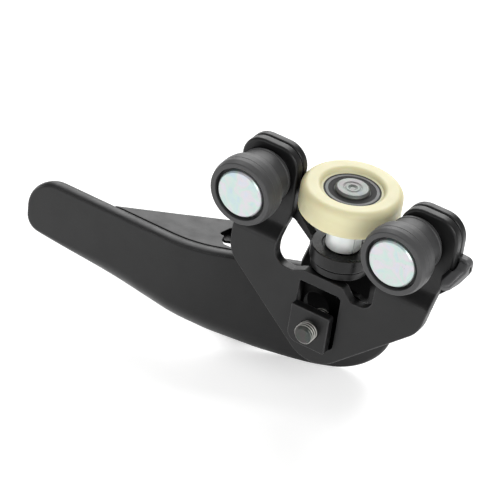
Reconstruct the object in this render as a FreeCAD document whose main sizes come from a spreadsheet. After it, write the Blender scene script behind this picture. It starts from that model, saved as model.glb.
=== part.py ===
import FreeCAD, Part
import math
import os
import re
import Sketcher
from FreeCAD import Placement, Rotation, Vector

# Sliding-door roller carriage on a swinging arm: two load rollers, one guide roller, a pivot and an arm.
# Units are millimetres.  The origin is where the guide roller's upright axis crosses the plane of the
# two load-roller axes.  +X runs along the rail, -Y is the side of the load rollers' zinc heads, +Z is up.

Z_AXIS = Vector(0, 0, 1)

# Driving dimensions: alias, value, meaning.
DIMENSIONS = [
    ("roller_spread", 32.8, "load roller axis from the pivot axis"),
    ("head_face", -27.0, "Y of the load pins' outer faces"),
    ("head_radius", 9.4, "zinc head of a load pin"),
    ("head_height", 3.2, "thickness of that head"),
    ("load_shank", 5.0, "load pin shank radius"),
    ("liner_wall", 1.2, "steel liner in the load roller"),
    ("tread_radius", 13.5, "load roller over its tread"),
    ("tread_length", 10.6, "width of the tread"),
    ("groove_radius", 11.0, "counterbore around the zinc head"),
    ("neck_radius", 10.3, "roller hub behind the tread"),
    ("run_clearance", 0.06, "radial running clearance"),
    ("plate", 4.0, "carriage plate thickness"),
    ("ear_face", -7.0, "Y of the front ears' outer face"),
    ("inner_left", 20.0, "inner edge of the ears at -X"),
    ("inner_right", 24.2, "inner edge of the ears at +X"),
    ("ear_left", 44.8, "outer edge of the ears at -X"),
    ("ear_right", 48.6, "outer edge of the ears at +X"),
    ("ear_top", 13.4, "Z of the ears' tops"),
    ("ear_round", 9.0, "corner radius of the ears' tops"),
    ("foot_inner", 21.8, "inner edge of an ear at the joggle"),
    ("land_face", -12.0, "Y of the front plate's lower face"),
    ("land_top", -30.6, "Z of the front plate's middle edge"),
    ("land_left", 41.6, "front plate's half width at -X"),
    ("land_right", 44.4, "front plate's half width at +X"),
    ("joggle_low", -24.5, "Z where the joggle starts, below"),
    ("joggle_high", -18.5, "Z where the joggle ends, above"),
    ("window_left", -9.4, "window in the front plate"),
    ("window_right", 8.6, "window in the front plate"),
    ("window_top", -35.6, "window in the front plate"),
    ("window_foot", -61.2, "window in the front plate"),
    ("tab_top", -44.2, "top edge of the raised tab"),
    ("tab_foot", -60.8, "lower edge of the raised tab"),
    ("tab_right", 7.4, "right edge of the raised tab"),
    ("screw_x", -0.6, "stop screw axis"),
    ("screw_z", -52.8, "stop screw axis"),
    ("screw_radius", 4.0, "M8 stop screw"),
    ("screw_pitch", 1.25, "its thread pitch"),
    ("nut_flats", 13.0, "M8 nut across flats"),
    ("tyre_radius", 19.5, "guide roller over its tread"),
    ("tyre_width", 11.6, "guide roller height"),
    ("tyre_mouth", 12.2, "recess in the guide roller's faces"),
    ("race_outer", 11.0, "bearing outer ring radius"),
    ("race_width", 8.0, "bearing width"),
    ("ball_radius", 1.55, "bearing balls"),
    ("guide_shank", 5.0, "pivot pin radius"),
    ("rivet_radius", 6.6, "pivot pin's upper head"),
    ("spacer_radius", 6.8, "spacer sleeve between bearing and collar"),
    ("collar_radius", 12.1, "black collar that holds the pivot pin"),
    ("collar_top", -20.7, "Z of the collar's top"),
    ("collar_foot", -26.2, "Z of the collar's underside"),
    ("hug_radius", 15.4, "rear plate where it hugs the collar"),
    ("hook_reach", 53.3, "X of the end hook's outer side"),
    ("hook_front", -18.9, "Y where the end hook ends"),
    ("hook_top", -5.3, "Z of the end hook's top face"),
    ("hook_back", -2.2, "Z of the upright stub that the end hook bends from"),
    ("lug_sheet", 3.0, "hinge bracket sheet"),
    ("lug_gap", 0.7, "collar to hinge bracket, filled by the thrust washer"),
    ("lug_radius", 11.4, "rounded end of the hinge bracket"),
    ("arm_sheet", 3.0, "arm sheet"),
    ("arm_top", -46.2, "Z of the arm's rolled rim"),
    ("arm_foot", -91.8, "Z of the arm's lowest edge"),
    ("arm_face", -10.6, "Y of the blade's front face, straight part"),
    ("arm_bend", 27.0, "degrees the blade turns back behind the carriage"),
    ("arm_offset", 17.2, "pivot axis to the turned part of the blade"),
    ("arm_bend_radius", 48.0, "inner radius of that turn"),
    ("arm_tip", -136.4, "X of the blade's tip"),
    ("rim_depth", 6.8, "depth of the rolled rim"),
    ("door_face", 24.0, "Y of the door flange's outer face"),
    ("door_x", -49.0, "X of the door bolts"),
    ("door_z", -70.0, "Z halfway between the door bolts"),
    ("door_pitch", 20.0, "distance between the door bolts"),
    ("door_hole", 4.25, "door bolt clearance hole radius"),
]

doc = FreeCAD.newDocument("roller_carriage")
sheet = doc.addObject("Spreadsheet::Sheet", "Dimensions")
for row, (alias, number, meaning) in enumerate(DIMENSIONS, start=1):
    sheet.set(f"A{row}", meaning)
    sheet.set(f"B{row}", str(number))
    sheet.setAlias(f"B{row}", alias)
doc.recompute()

ALIAS = re.compile(r"\b(" + "|".join(alias for alias, _, _ in DIMENSIONS) + r")\b")
subparts = []


# ---------------------------------------------------------------- helpers

def linked(text):
    """An expression in which every driving dimension names its spreadsheet cell."""
    return ALIAS.sub(r"Dimensions.\1", text)


def value(text):
    """The number that an expression of driving dimensions gives."""
    return float(sheet.evalExpression(linked(text)))


def bind(item, prop, text):
    """Tie a property to an expression of driving dimensions."""
    item.setExpression(prop, linked(text))


def name_subpart(item, label):
    """Label an object and list it as a sub-part."""
    item.Label = label
    subparts.append(item)
    return item


def new_body(label, x="0", turn="0", listed=True):
    """An empty body placed along X and turned about Z by a number of degrees."""
    body = doc.addObject("PartDesign::Body", label)
    body.Placement = Placement(Vector(value(x), 0, 0), Rotation(Z_AXIS, value(turn)))
    bind(body, "Placement.Base.x", x)
    if listed:
        name_subpart(body, label)
    return body


def sketch_on(body, role, offset):
    """A sketch on one of the body's origin planes, moved along that plane's normal."""
    sketch = body.newObject("Sketcher::SketchObject", "Sketch")
    sketch.AttachmentSupport = [(next(f for f in body.Origin.OriginFeatures if f.Role == role), "")]
    sketch.MapMode = "FlatFace"
    bind(sketch, "AttachmentOffset.Base.z", offset)
    return sketch


def upright(body, face_y):
    """A sketch in X and Z at one Y: a pad grows towards -Y, a pocket cuts towards +Y."""
    return sketch_on(body, "XZ_Plane", f"-({face_y})")


def level(body, height):
    """A sketch in X and Y at one Z: a pad grows upwards, a pocket cuts downwards."""
    return sketch_on(body, "XY_Plane", height)


def polygon(sketch, corners):
    """A closed outline through corners given as pairs of expressions, which drive each point."""
    points = [Vector(value(u), value(v), 0) for u, v in corners]
    count = len(points)
    for index, point in enumerate(points):
        sketch.addGeometry(Part.LineSegment(point, points[(index + 1) % count]), False)
    for index in range(count):
        sketch.addConstraint(Sketcher.Constraint("Coincident", index, 2, (index + 1) % count, 1))
    for index, (u, v) in enumerate(corners):
        for kind, text in (("DistanceX", u), ("DistanceY", v)):
            datum = sketch.addConstraint(Sketcher.Constraint(kind, -1, 1, index, 1, value(text)))
            bind(sketch, f"Constraints[{datum}]", text)


def disc(sketch, radius, u="0", v="0"):
    """A circle whose radius and centre are driven by expressions."""
    number = sketch.addGeometry(Part.Circle(Vector(value(u), value(v), 0), Z_AXIS, value(radius)), False)
    constraints = (("Radius", (number,), radius), ("DistanceX", (-1, 1, number, 3), u),
                   ("DistanceY", (-1, 1, number, 3), v))
    for kind, points, text in constraints:
        datum = sketch.addConstraint(Sketcher.Constraint(kind, *points, value(text)))
        bind(sketch, f"Constraints[{datum}]", text)


def six_flats(sketch, u, v):
    """The hexagon of an M8 nut, with two flats level."""
    reach = "nut_flats / sqrt(3)"
    polygon(sketch, [(f"{u} + {reach} * {math.cos(math.radians(60 * k)):.5f}",
                      f"{v} + {reach} * {math.sin(math.radians(60 * k)):.5f}") for k in range(6)])


def rounded(sketch, corners):
    """A closed outline through (u, v, radius) corners, each rounded by a tangent arc unless it is 0."""
    count = len(corners)
    points = [Vector(u, v, 0) for u, v, _ in corners]
    starts, ends = [], []
    for index, (_, _, radius) in enumerate(corners):
        here = points[index]
        back = (points[index - 1] - here).normalize()
        ahead = (points[(index + 1) % count] - here).normalize()
        half = back.getAngle(ahead) / 2
        reach = radius / math.tan(half)
        starts.append(here + back * reach)
        ends.append(here + ahead * reach)
        if radius:
            crown = here + (back + ahead).normalize() * (radius / math.sin(half) - radius)
            sketch.addGeometry(Part.Arc(starts[index], crown, ends[index]), False)
    for index in range(count):
        sketch.addGeometry(Part.LineSegment(ends[index], starts[(index + 1) % count]), False)


def pad(body, sketch, length):
    """Material grown from a sketch."""
    feature = body.newObject("PartDesign::Pad", "Pad")
    feature.Profile = sketch
    bind(feature, "Length", length)
    body.Tip = feature
    return feature


def pocket(body, sketch, length):
    """Material cut away from a sketch; it must remove something."""
    doc.recompute()
    before = body.Shape.Volume
    feature = body.newObject("PartDesign::Pocket", "Pocket")
    feature.Profile = sketch
    bind(feature, "Length", length)
    body.Tip = feature
    doc.recompute()
    if body.Shape.Volume > before - 1e-3:
        raise RuntimeError(f"{body.Label}: a pocket cuts nothing")
    return feature


def soften(body, radius, chosen):
    """Round the edges for which chosen(edge) holds."""
    doc.recompute()
    base = body.Tip
    names = [f"Edge{i}" for i, edge in enumerate(base.Shape.Edges, start=1) if chosen(edge)]
    feature = body.newObject("PartDesign::Fillet", "Fillet")
    feature.Base = (base, names)
    bind(feature, "Radius", radius)
    body.Tip = feature
    doc.recompute()
    if not names or "Invalid" in feature.State:
        raise RuntimeError(f"{body.Label}: {len(names)} edges do not take a radius of {radius}")
    return feature


def on_ring(radius):
    """A test for full circles of one radius."""
    wanted = value(radius)
    return lambda edge: isinstance(edge.Curve, Part.Circle) and abs(edge.Curve.Radius - wanted) < 0.02


def along_x(y, z):
    """A test for straight edges parallel to X through one Y and Z."""
    place = Vector(0, value(y), value(z))

    def test(edge):
        ends = [vertex.Point for vertex in edge.Vertexes]
        return len(ends) == 2 and all(Vector(0, p.y, p.z).distanceToPoint(place) < 0.02 for p in ends)
    return test


def turned(label, corners, along="Z", x="0"):
    """A body of revolution about its own Z or Y axis; corners are (radius, position) expressions."""
    body = new_body(label, x)
    sketch = sketch_on(body, "XZ_Plane" if along == "Z" else "XY_Plane", "0")
    polygon(sketch, corners)
    feature = body.newObject("PartDesign::Revolution", "Revolution")
    feature.Profile = sketch
    feature.ReferenceAxis = (sketch, ["V_Axis"])
    feature.Angle = 360
    body.Tip = feature
    return body


def tube(label, inner, outer, low, high, along="Z", x="0"):
    """A plain ring between two radii and two positions along its axis."""
    return turned(label, [(inner, low), (outer, low), (outer, high), (inner, high)], along, x)


# ---------------------------------------------------------------- load rollers

def load_roller(side, x):
    """Pin, steel liner, moulded roller and thrust washer of one load roller, about a Y axis."""
    back = "ear_face + 2 * plate"
    turned(f"{side}_load_pin", [
        ("0", "head_face"), ("head_radius - 0.6", "head_face"), ("head_radius", "head_face + 0.6"),
        ("head_radius", "head_face + head_height"), ("load_shank", "head_face + head_height"),
        ("load_shank", f"{back} + 1.2"), ("load_shank + 1.6", f"{back} + 1.2"),
        ("load_shank + 1.2", f"{back} + 2.6"), ("load_shank - 1.4", f"{back} + 3.2"), ("0", f"{back} + 2.8"),
    ], "Y", x)
    tube(f"{side}_pin_washer", "load_shank", "load_shank + 3.6", back, f"{back} + 1.2", "Y", x)
    tube(f"{side}_load_liner", "load_shank", "load_shank + liner_wall",
         "head_face + head_height", "ear_face", "Y", x)
    bore = "load_shank + liner_wall + run_clearance"
    tube(f"{side}_load_washer", bore, "neck_radius - 0.2", "ear_face - 0.8", "ear_face", "Y", x)
    roller = turned(f"{side}_load_roller", [
        (bore, "head_face + head_height + 0.3"), ("groove_radius", "head_face + head_height + 0.3"),
        ("groove_radius", "head_face + 0.2"), ("tread_radius - 0.3", "head_face + 0.2"),
        ("tread_radius", "head_face + 2.6"), ("tread_radius", "head_face + 7.4"),
        ("tread_radius - 0.5", "head_face + tread_length"), ("neck_radius + 0.4", "head_face + tread_length + 0.4"),
        ("neck_radius - 0.4", "ear_face - 1.1"), (bore, "ear_face - 1.1"),
    ], "Y", x)
    soften(roller, "0.8", on_ring("tread_radius - 0.3"))
    soften(roller, "1.2", on_ring("tread_radius - 0.5"))


# ---------------------------------------------------------------- guide roller

def guide_tyre():
    """Moulded nylon tyre with a dished mouth on each side of its bearing."""
    half, seat = "tyre_width / 2", "race_width / 2"
    body = turned("guide_tyre", [
        ("race_outer", f"-{seat}"), ("tyre_mouth", f"-{seat} - 0.5"), ("tyre_mouth", f"-{half}"),
        ("tyre_radius", f"-{half}"), ("tyre_radius", half), ("tyre_mouth", half),
        ("tyre_mouth", f"{seat} + 0.5"), ("race_outer", seat),
    ])
    soften(body, "2.2", on_ring("tyre_radius"))
    on_mouth = on_ring("tyre_mouth")
    face = value(half)
    soften(body, "0.9", lambda edge: on_mouth(edge) and abs(abs(edge.Curve.Center.z) - face) < 0.02)


def cylinder(label, radius, height):
    """An upright cylinder primitive centred on the origin."""
    item = doc.addObject("Part::Cylinder", label)
    bind(item, "Radius", radius)
    bind(item, "Height", height)
    bind(item, "Placement.Base.z", f"-({height}) / 2")
    return item


def cut_away(label, base, tools):
    """A sub-part made by cutting tools from a base."""
    cutters = doc.addObject("Part::MultiFuse", label + "_cutters")
    cutters.Shapes = tools
    cut = doc.addObject("Part::Cut", label)
    cut.Base = base
    cut.Tool = cutters
    return name_subpart(cut, label)


def guide_bearing():
    """Deep-groove ball bearing: two rings, nine balls, a cage and a pair of shields."""
    pitch = "(race_outer + guide_shank) / 2 + 0.05"
    count = 9
    rings = {"guide_outer_race": ("race_outer - 1.8", "race_outer"),
             "guide_inner_race": ("guide_shank", "guide_shank + 1.9")}
    for label, (inner, outer) in rings.items():
        track = doc.addObject("Part::Torus", label + "_track")
        bind(track, "Radius1", pitch)
        bind(track, "Radius2", "ball_radius + 0.03")
        blank = cylinder(label + "_blank", outer, "race_width")
        cut_away(label, blank, [cylinder(label + "_bore", inner, "race_width"), track])
    balls, rooms = [], []
    for index in range(count):
        turn = math.radians(360 * index / count)
        for made, name, radius in ((balls, "ball", "ball_radius"), (rooms, "cage_room", "ball_radius + 0.08")):
            sphere = doc.addObject("Part::Sphere", f"{name}_{index + 1}")
            bind(sphere, "Radius", radius)
            bind(sphere, "Placement.Base.x", f"({pitch}) * {math.cos(turn):.6f}")
            bind(sphere, "Placement.Base.y", f"({pitch}) * {math.sin(turn):.6f}")
            made.append(sphere)
    group = doc.addObject("Part::Compound", "guide_bearing_balls")
    group.Links = balls
    name_subpart(group, "guide_bearing_balls")
    cage = cylinder("cage_blank", f"{pitch} + 0.35", "ball_radius * 2 + 1.2")
    inside = cylinder("cage_inside", f"{pitch} - 0.35", "ball_radius * 2 + 1.2")
    cut_away("guide_bearing_cage", cage, [inside] + rooms)
    half = "race_width / 2"
    for label, low, high in (("guide_lower_shield", f"0.55 - {half}", f"1.0 - {half}"),
                             ("guide_upper_shield", f"{half} - 1.0", f"{half} - 0.55")):
        tube(label, "guide_shank + 2.1", "race_outer - 1.8", low, high)


# ---------------------------------------------------------------- pivot

def pivot():
    """Riveted pin and all that sits on it, from the guide roller down to the hinge bracket."""
    top = "race_width / 2"
    lug_foot = "collar_foot - lug_gap - lug_sheet"
    turned("pivot_pin", [
        ("0", f"{top} + 0.7"), ("1.0", f"{top} + 0.7"), ("2.1", f"{top} + 1.25"), ("2.9", f"{top} + 1.05"),
        ("3.6", f"{top} + 1.3"), ("rivet_radius - 1.1", f"{top} + 1.3"), ("rivet_radius", f"{top} + 0.5"),
        ("rivet_radius", top), ("guide_shank", top), ("guide_shank", f"{lug_foot} - 1.4"),
        ("guide_shank + 1.6", f"{lug_foot} - 1.4"), ("guide_shank + 1.2", f"{lug_foot} - 2.6"),
        ("0", f"{lug_foot} - 2.9"),
    ])
    tube("guide_washer", "guide_shank", "guide_shank + 1.9", f"-{top} - 0.7", f"-{top}")
    sleeve = tube("pivot_sleeve", "guide_shank", "spacer_radius", "collar_top", f"-{top} - 0.7")
    seam = upright(sleeve, "-spacer_radius - 1")
    polygon(seam, [("-0.2", "collar_top - 1"), ("0.2", "collar_top - 1"), ("0.2", "0"), ("-0.2", "0")])
    pocket(sleeve, seam, "spacer_radius")
    sleeve.Placement = Placement(Vector(), Rotation(Z_AXIS, 62))
    turned("pivot_collar", [
        ("guide_shank", "collar_foot"), ("collar_radius - 0.5", "collar_foot"),
        ("collar_radius", "collar_foot + 0.5"), ("collar_radius", "collar_top - 0.5"),
        ("collar_radius - 0.5", "collar_top"), ("spacer_radius + 1.4", "collar_top"),
        ("spacer_radius + 1.1", "collar_top - 0.6"), ("spacer_radius + 0.2", "collar_top - 0.6"),
        ("spacer_radius", "collar_top"), ("guide_shank", "collar_top"),
    ])
    tube("pivot_thrust_washer", "guide_shank + 0.1", "collar_radius - 1.6", "collar_foot - 0.6", "collar_foot")
    tube("pivot_bush", "guide_shank + run_clearance", "guide_shank + 1.6", lug_foot, "collar_foot - lug_gap")
    tube("pivot_lower_washer", "guide_shank", "guide_shank + 2.2", f"{lug_foot} - 1.4", f"{lug_foot} - 0.3")


# ---------------------------------------------------------------- carriage plates

def ear_sides():
    """For each end: its sign, the ears' inner and outer edges, and the land's half width."""
    yield -1, value("inner_left"), value("ear_left"), "land_left"
    yield 1, value("inner_right"), value("ear_right"), "land_right"


def front_plate():
    """Kite-shaped pressing: lower land, two joggles, two ears and a raised tab for the stop screw."""
    body = new_body("front_plate")
    foot, crown, bend = value("foot_inner"), value("ear_top"), value("ear_round")
    low, top = value("joggle_low"), value("land_top")
    left, right = value("land_left"), value("land_right")
    land = upright(body, "land_face + plate")
    rounded(land, [
        (-foot, low, 0), (-left, low, 0), (-left, -37.0, 12.0), (0.4, -74.6, 14.0), (42.2, -35.2, 14.0),
        (right, low, 0), (foot, low, 0), (foot - 0.4, -35.4, 5.0), (12.6, -35.4, 3.0),
        (8.6, top, 1.5), (-8.6, top, 1.5), (-13.6, -33.0, 2.0), (-foot, -33.0, 5.5),
    ])
    pad(body, land, "plate")
    for side, inner, outer, land_edge in ear_sides():
        ramp = sketch_on(body, "YZ_Plane", f"-{land_edge}" if side < 0 else "foot_inner")
        polygon(ramp, [("land_face", "joggle_low"), ("land_face + plate", "joggle_low"),
                       ("ear_face + plate", "joggle_high"), ("ear_face", "joggle_high")])
        pad(body, ramp, f"{land_edge} - foot_inner")
        ear = upright(body, "ear_face + plate")
        rounded(ear, [
            (side * foot, value("joggle_high"), 0), (side * inner, -14.0, 6.0),
            (side * inner, crown, bend), (side * outer, crown, bend),
            (side * outer, -9.0, 6.0), (side * value(land_edge), value("joggle_high"), 0),
        ])
        pad(body, ear, "plate")
    window = upright(body, "land_face - 1")
    window_left, window_right = value("window_left"), value("window_right")
    window_top, window_foot = value("window_top"), value("window_foot")
    rounded(window, [(window_left, window_foot, 1.0), (window_right, window_foot, 3.4),
                     (window_right, window_top, 1.8), (window_left, window_top, 0.5)])
    pocket(body, window, "plate + 2")
    tab_top, tab_right, tab_foot = value("tab_top"), value("tab_right"), value("tab_foot")
    tab = upright(body, "land_face - 0.4")
    rounded(tab, [(window_left, tab_top, 0.4), (tab_right, tab_top, 0.6),
                  (tab_right, tab_foot, 0.8), (window_left, tab_foot, 4.5)])
    pad(body, tab, "plate - 0.4")
    root = upright(body, "land_face + plate")
    polygon(root, [("-5", "tab_foot + 1.2"), ("tab_right - 2.6", "tab_foot + 1.2"),
                   ("tab_right - 2.6", "window_foot - 0.4"), ("-5", "window_foot - 0.4")])
    pad(body, root, "plate + 0.7")
    screw_hole = upright(body, "land_face - plate - 2")
    disc(screw_hole, "screw_radius", "screw_x", "screw_z")
    pocket(body, screw_hole, "plate + 2")
    for side in ("-", ""):
        pin_hole = upright(body, "ear_face - 1")
        disc(pin_hole, "load_shank", f"{side}roller_spread")
        pocket(body, pin_hole, "plate + 2")


def rear_plate():
    """Second pressing, behind the ears: it hugs the collar and carries the end hook at +X."""
    body = new_body("rear_plate")
    hug = level(body, "collar_top - 3.8")
    disc(hug, "hug_radius")
    pad(body, hug, "3.4")
    front = level(body, "collar_top")
    polygon(front, [("-hug_radius - 1", "-hug_radius - 1"), ("hug_radius + 1", "-hug_radius - 1"),
                    ("hug_radius + 1", "0"), ("-hug_radius - 1", "0")])
    pocket(body, front, "5")
    crown, bend = value("ear_top"), value("ear_round")
    hug_low, hug_high = value("collar_top - 3.8"), value("collar_top - 0.4")
    for side, inner, outer, _ in ear_sides():
        ear = upright(body, "ear_face + 2 * plate")
        rounded(ear, [
            (side * inner, crown, bend), (side * outer, crown, bend), (side * outer, -13.0, 3.0),
            (side * (outer - 2.2), -18.4, 1.5), (side * (outer - 5.4), -22.0, 1.5), (side * 34.0, -18.0, 4.0),
            (side * 20.5, -17.4, 1.5), (side * 11.9, hug_low, 0),
            (side * 8.0, hug_low, 0), (side * 8.0, hug_high, 0), (side * 12.2, hug_high, 1.0),
            (side * inner, -12.5, 4.0),
        ])
        pad(body, ear, "plate")
    for side in ("-", ""):
        pin_hole = upright(body, "ear_face")
        disc(pin_hole, "load_shank", f"{side}roller_spread")
        pocket(body, pin_hole, "3 * plate")
    seat = level(body, "0")
    disc(seat, "collar_radius")
    pocket(body, seat, "40")
    hook = level(body, "hook_top - plate")
    reach, nose, clear = value("hook_reach"), value("hook_front"), value("ear_right") + 0.25
    face, back = value("ear_face + plate"), value("ear_face + 2 * plate")
    root, wrap, front = value("ear_right") - 3.0, value("ear_right") - 1.4, value("ear_face") - 0.3
    rounded(hook, [(root, face, 0), (root, back, 0), (reach, back, 1.0), (reach, nose, 2.4),
                   (reach - 3.2, nose, 1.2), (wrap, -12.4, 1.6), (wrap, front, 0.4), (clear, front, 0),
                   (clear, face, 0)])
    pad(body, hook, "plate")
    stub = upright(body, "ear_face + 2 * plate")
    low, high = value("hook_top - plate"), value("hook_back")
    rounded(stub, [(root, low, 0), (reach, low, 0), (reach, high, 2.5), (root, high, 0)])
    pad(body, stub, "plate")


def stop_screw():
    """M8 stop screw in the raised tab and the doubler behind the window."""
    nose, tail = value("land_face - 8.6"), value("land_face + plate + 4")
    pitch, crest = value("screw_pitch"), value("screw_radius")
    root = crest - 0.61 * pitch
    threads = int((tail - nose - 2.0) / pitch)
    profile = [(0, nose + 0.5), (1.1, nose + 0.5), (1.4, nose), (root - 0.2, nose), (root, nose + 0.35)]
    for index in range(threads):
        start = nose + 0.7 + index * pitch
        profile += [(root, start), (crest, start + 0.45 * pitch), (crest, start + 0.55 * pitch)]
    profile += [(root, nose + 0.7 + threads * pitch), (root, tail), (0, tail)]
    body = new_body("stop_screw", "screw_x")
    sketch = sketch_on(body, "XY_Plane", "screw_z")
    polygon(sketch, [(f"{radius:.4f}", f"{place:.4f}") for radius, place in profile])
    feature = body.newObject("PartDesign::Revolution", "Revolution")
    feature.Profile = sketch
    feature.ReferenceAxis = (sketch, ["V_Axis"])
    feature.Angle = 360
    body.Tip = feature
    doubler = new_body("window_doubler")
    plate = upright(doubler, "land_face + plate + 2.5")
    rounded(plate, [(-16.0, -34.4, 3.0), (16.0, -34.4, 3.0), (16.0, -50.0, 8.0), (5.0, -63.0, 6.0),
                    (-5.0, -63.0, 6.0), (-16.0, -50.0, 8.0)])
    pad(doubler, plate, "2.5")
    hole = upright(doubler, "land_face + plate - 1")
    disc(hole, "5.6", "-2.8", "-46.4")
    pocket(doubler, hole, "5")
    clearance = upright(doubler, "land_face + plate - 1")
    disc(clearance, "screw_radius + 0.5", "screw_x", "screw_z")
    pocket(doubler, clearance, "5")


# ---------------------------------------------------------------- arm

def arm_frame():
    """Unit vectors along and across the turned part of the blade, and where it meets the straight part."""
    turn = math.radians(value("arm_bend"))
    along = Vector(math.cos(turn), math.sin(turn), 0)
    across = Vector(-math.sin(turn), math.cos(turn), 0)
    return along, across


def blade_plan(sketch, depth, start, corner=0):
    """Plan of a strip of the blade, from its front face to a depth behind it."""
    along, across = arm_frame()
    face, offset = value("arm_face"), value("arm_offset")
    radius = value("arm_bend_radius + arm_sheet")

    def bend_point(behind):
        foot = across * (offset + behind)
        return foot + along * ((face + behind - foot.y) / along.y)
    front_end = across * offset + along * 32.0
    back_end = front_end + across * depth
    front_bend, back_bend = bend_point(0), bend_point(depth)
    rounded(sketch, [
        (start, face, 0), (front_bend.x, front_bend.y, radius), (front_end.x, front_end.y, 0),
        (back_end.x, back_end.y, 0), (back_bend.x, back_bend.y, radius - depth), (start, face + depth, corner),
    ])


def arm_blade():
    """Long blade with a rolled rim: a bent strip, trimmed to the blade's outline."""
    strip = new_body("blade_strip", listed=False)
    wall = level(strip, "arm_foot - 1")
    blade_plan(wall, value("arm_sheet"), value("arm_tip") - 2)
    pad(strip, wall, "arm_top - arm_foot + 1")
    rim = level(strip, "arm_top - arm_sheet")
    blade_plan(rim, value("rim_depth"), value("arm_tip") + 4.5, 6.4)
    pad(strip, rim, "arm_sheet")
    _, across = arm_frame()
    top, face, offset = value("arm_top"), value("arm_face"), value("arm_offset")

    def on_front_rim(edge):
        middle = edge.valueAt((edge.FirstParameter + edge.LastParameter) / 2)
        depth = min(middle.y - face, middle.dot(across) - offset)
        flat = all(abs(vertex.Point.z - top) < 0.01 for vertex in edge.Vertexes)
        return flat and edge.Length > 8 and depth < 2
    soften(strip, "arm_sheet - 0.4", on_front_rim)
    trim = new_body("blade_trim", listed=False)
    side = upright(trim, "60")
    tip, foot = value("arm_tip"), value("arm_foot")
    rounded(side, [(tip, top, 13.2), (15.5, top, 3.0), (15.5, foot, 20.0), (-26.0, foot, 50.0),
                   (-56.0, -83.6, 60.0), (tip + 0.8, -68.9, 5.0)])
    pad(trim, side, "90")
    blade = doc.addObject("Part::Common", "arm_blade")
    blade.Base = strip
    blade.Tool = trim
    name_subpart(blade, "arm_blade")


def arm_web():
    """Level web behind the rim, folded down at its back into the flange that bolts to the door."""
    body = new_body("arm_web")
    along, across = arm_frame()
    behind = value("arm_face + rim_depth")
    flange_left, flange_right = -58.0, -40.0
    back = value("door_face")
    turned_back = across * value("arm_offset + rim_depth")
    step = (-43.0 - turned_back.x) / along.x
    inner_right = turned_back + along * step
    bend = turned_back + along * ((behind - turned_back.y) / along.y)
    plan = level(body, "arm_top - arm_sheet")
    rounded(plan, [
        (-98.2, behind, 0), (bend.x, bend.y, value("arm_bend_radius + arm_sheet - rim_depth")), (inner_right.x, inner_right.y, 0),
        (-43.0, back, 0), (-50.6, back, 0),
    ])
    pad(body, plan, "arm_sheet")
    gap = level(body, "arm_top")
    rounded(gap, [(-58.0, 2.2, 1.0), (-46.0, 8.0, 1.0), (-48.5, 13.0, 2.0), (-57.5, 8.6, 2.0)])
    pocket(body, gap, "3 * arm_sheet")
    flange = upright(body, "door_face")
    low, high = value("door_z") - 18.0, value("arm_top - arm_sheet")
    rounded(flange, [(flange_left, high, 0), (-43.0, high, 0), (flange_right, high - 4.0, 1.0),
                     (flange_right, low, 5.0), (flange_left, low, 5.0)])
    pad(body, flange, "arm_sheet")
    soften(body, "arm_sheet - 0.5", along_x("door_face", "arm_top"))
    for sign in ("-", "+"):
        hole = upright(body, "door_face - arm_sheet - 1")
        disc(hole, "door_hole", "door_x", f"door_z {sign} door_pitch / 2")
        pocket(body, hole, "arm_sheet + 2")


def door_weld_nuts():
    """Two M8 weld nuts behind the door flange, one group of equal solids."""
    nuts = []
    for number, sign in enumerate(("-", "+"), start=1):
        nut = new_body(f"weld_nut_{number}", listed=False)
        sketch = upright(nut, "door_face - arm_sheet")
        height = f"door_z {sign} door_pitch / 2"
        six_flats(sketch, "door_x", height)
        disc(sketch, "screw_radius - 0.6", "door_x", height)
        pad(nut, sketch, "6.5")
        nuts.append(nut)
    group = doc.addObject("Part::Compound", "door_weld_nuts")
    group.Links = nuts
    name_subpart(group, "door_weld_nuts")


def hinge_bracket():
    """Bracket welded to the turned part of the blade; its level lug holds the pivot bush."""
    body = new_body("hinge_bracket", turn="arm_bend")
    top = "collar_foot - lug_gap"
    radius, offset = value("lug_radius"), value("arm_offset")
    lug = level(body, f"{top} - lug_sheet")
    rounded(lug, [(-radius, -radius, radius - 0.01), (radius, -radius, radius - 0.01),
                  (radius, offset, 0), (-radius, offset, 0)])
    pad(body, lug, "lug_sheet")
    flange = upright(body, "arm_offset")
    rounded(flange, [(-radius, value(top), 0), (radius, value(top), 0), (14.0, -42.0, 3.0), (14.0, -64.0, 4.0),
                     (-14.0, -64.0, 4.0), (-14.0, -42.0, 3.0)])
    pad(body, flange, "lug_sheet")
    soften(body, "lug_sheet - 0.4", along_x("arm_offset", top))
    bore = level(body, f"{top} + 1")
    disc(bore, "guide_shank + 1.6")
    pocket(body, bore, "lug_sheet + 2")


# ---------------------------------------------------------------- assembly and export

def check(item):
    """Stop on a failed object or a bad shape."""
    if {"Invalid", "Error"} & set(item.State):
        raise RuntimeError(f"{item.Label}: {item.State}")


def export():
    """Check every object, then write each sub-part's shape to its own file."""
    doc.recompute()
    for item in doc.Objects:
        check(item)
    os.makedirs("parts", exist_ok=True)
    for item in subparts:
        shape = item.Shape
        if shape.isNull() or not shape.isValid() or not shape.Solids:
            raise RuntimeError(f"{item.Label}: bad shape")
        shape.exportStep(f"parts/{item.Label}.step")
        print(f"{item.Label:24s} {len(shape.Solids)} solids {shape.Volume:10.1f} mm3")


for side_name, place in (("left", "-roller_spread"), ("right", "roller_spread")):
    load_roller(side_name, place)
guide_tyre()
guide_bearing()
pivot()
front_plate()
rear_plate()
stop_screw()
arm_blade()
arm_web()
door_weld_nuts()
hinge_bracket()
export()
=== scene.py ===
import math

import bmesh
import bpy
from mathutils import Matrix, Vector
from mathutils.geometry import delaunay_2d_cdt


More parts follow.
